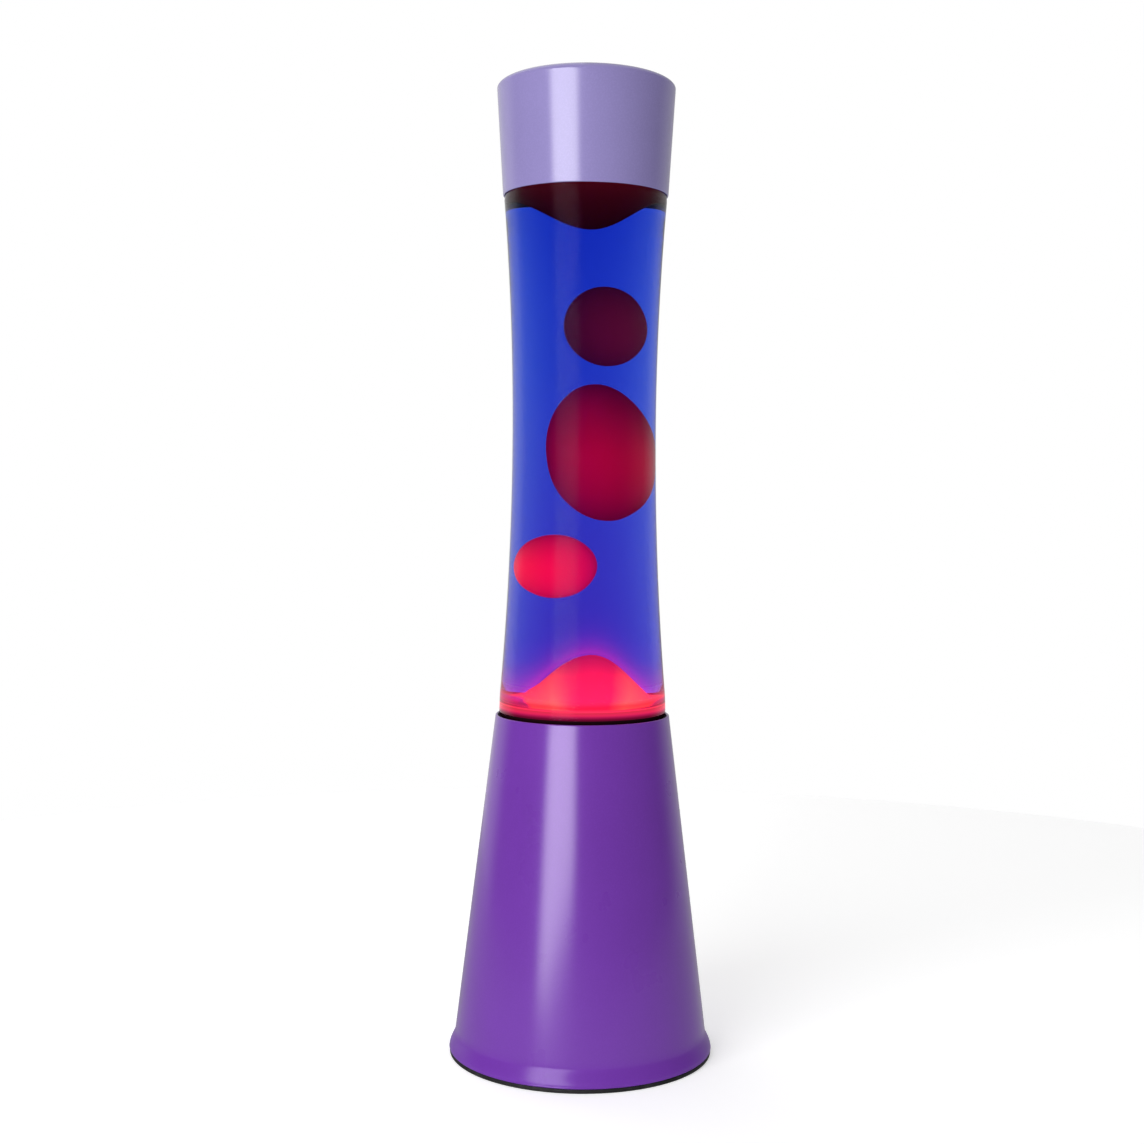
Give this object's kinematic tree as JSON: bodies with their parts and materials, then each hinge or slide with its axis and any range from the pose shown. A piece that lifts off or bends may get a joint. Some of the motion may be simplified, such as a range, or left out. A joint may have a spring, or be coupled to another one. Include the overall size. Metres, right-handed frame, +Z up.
{
  "type": "lava lamp",
  "caption": "Tall lamp: a waisted glass bottle of coloured liquid and drifting wax, lit from below by a reflector bulb in a conical metal base, under a metal cap.",
  "frame": {"origin": "middle of the foot ring's underside, on the table", "axes": "+Z up along the lamp's axis, cord entry at +Y, front at -Y"},
  "size_m": [0.109, 0.109, 0.4],
  "materials": {
    "base_paint": "gloss",
    "cap_paint": "gloss",
    "foot_rubber": "matte",
    "black_plastic": "satin",
    "plated_steel": "satin",
    "cream_plastic": "satin",
    "brass": "satin",
    "brown_insulation": "satin",
    "blue_insulation": "satin",
    "bulb_glass": "gloss",
    "bulb_metal": "satin",
    "black_glass": "gloss",
    "bottle_glass": "gloss",
    "blue_liquid": "clear",
    "hot_wax": "glowing",
    "warm_wax": "glowing",
    "cool_wax": "translucent",
    "dark_wax": "translucent",
    "crown_lacquer": "gloss",
    "liner": "matte"
  },
  "bodies": {
    "base": {"base_cone": "base_paint", "foot_ring": "foot_rubber", "bottom_plate": "black_plastic", "plate_lugs": "plated_steel", "plate_screws": "plated_steel", "seat_ring": "black_plastic", "holder_bracket": "plated_steel", "bracket_screws": "plated_steel", "bracket_nuts": "plated_steel", "holder_nipple": "plated_steel", "nipple_nuts": "plated_steel", "holder_base": "cream_plastic", "holder_insert": "cream_plastic", "holder_shell": "cream_plastic", "holder_sleeve": "brass", "holder_contact": "brass", "holder_terminals": "brass", "terminal_block": "cream_plastic", "terminal_screws": "plated_steel", "lead_live": "brown_insulation", "lead_neutral": "blue_insulation", "cord_grommet": "foot_rubber", "cord_clamp": "cream_plastic", "clamp_screws": "plated_steel"},
    "bulb": {"bulb_glass": "bulb_glass", "bulb_screw_cap": "bulb_metal", "bulb_insulator": "black_glass", "bulb_contact": "plated_steel", "bulb_stem": "bulb_glass", "bulb_filament": "plated_steel"},
    "bottle": {"bottle_glass": "bottle_glass", "liquid": "blue_liquid", "wax_mound": "hot_wax", "heating_coil": "plated_steel", "wax_pool": "dark_wax", "crown_cap": "crown_lacquer", "crown_liner": "liner"},
    "large_wax": {"wax_large": "cool_wax"},
    "small_wax": {"wax_small": "dark_wax"},
    "low_wax": {"wax_low": "warm_wax"},
    "cap": {"top_cap": "cap_paint"}
  },
  "joints": [
    {"name": "bottle_lift", "type": "slide", "parent": "base", "child": "bottle", "axis": [0, 0, 1], "range_m": [0, 0.05]},
    {"name": "cap_lift", "type": "slide", "parent": "bottle", "child": "cap", "axis": [0, 0, 1], "range_m": [0, 0.045]},
    {"name": "bulb_out", "type": "slide", "parent": "base", "child": "bulb", "axis": [0, 0, 1], "range_m": [0, 0.011]},
    {"name": "large_wax_drift", "type": "slide", "parent": "bottle", "child": "large_wax", "axis": [0, 0, 1], "range_m": [-0.018, 0.018], "deforming": ["liquid"]},
    {"name": "small_wax_drift", "type": "slide", "parent": "large_wax", "child": "small_wax", "axis": [0, 0, 1], "range_m": [-0.005, 0.004], "deforming": ["liquid"]},
    {"name": "low_wax_drift", "type": "slide", "parent": "large_wax", "child": "low_wax", "axis": [0, 0, 1], "range_m": [-0.004, 0.004], "deforming": ["liquid"]}
  ]
}
